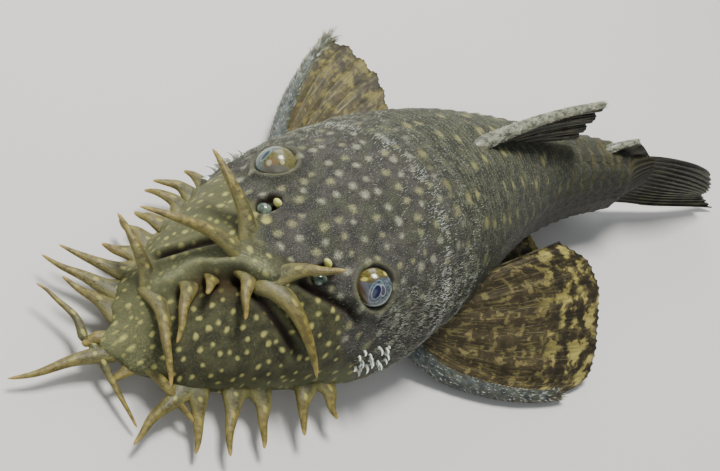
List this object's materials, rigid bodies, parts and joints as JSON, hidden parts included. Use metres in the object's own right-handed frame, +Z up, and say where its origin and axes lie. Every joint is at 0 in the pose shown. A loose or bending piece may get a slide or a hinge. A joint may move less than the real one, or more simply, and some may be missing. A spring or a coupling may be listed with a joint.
{
  "type": "bristlenose pleco",
  "caption": "Adult male bristlenose catfish, life size and still, lying on its belly with fins half spread and forked snout tentacles.",
  "frame": {"origin": "on the floor under the belly, on the body's midline, 36 mm behind the snout tip", "axes": "+X towards the snout, +Y towards the fish's left, +Z up; the back of the body bends towards +Y"},
  "size_m": [0.1368, 0.0644, 0.0255],
  "materials": {
    "head_skin": "wet satin, olive brown with yellow dots",
    "plated_skin": "wet satin, slate with pale spots",
    "lips": "soft matte, pale",
    "fin": "thin satin membrane with ribs",
    "eye": "glossy"
  },
  "bodies": {
    "root": {"head": "head_skin", "mouth": "lips", "eye_left": "eye", "eye_right": "eye", "trunk": "plated_skin", "tail": "plated_skin", "dorsal_fin": "fin", "adipose_fin": "fin", "anal_fin": "fin", "caudal_fin": "fin", "pectoral_fin_left": "fin", "pectoral_fin_right": "fin", "pelvic_fin_left": "fin", "pelvic_fin_right": "fin"}
  },
  "joints": []
}
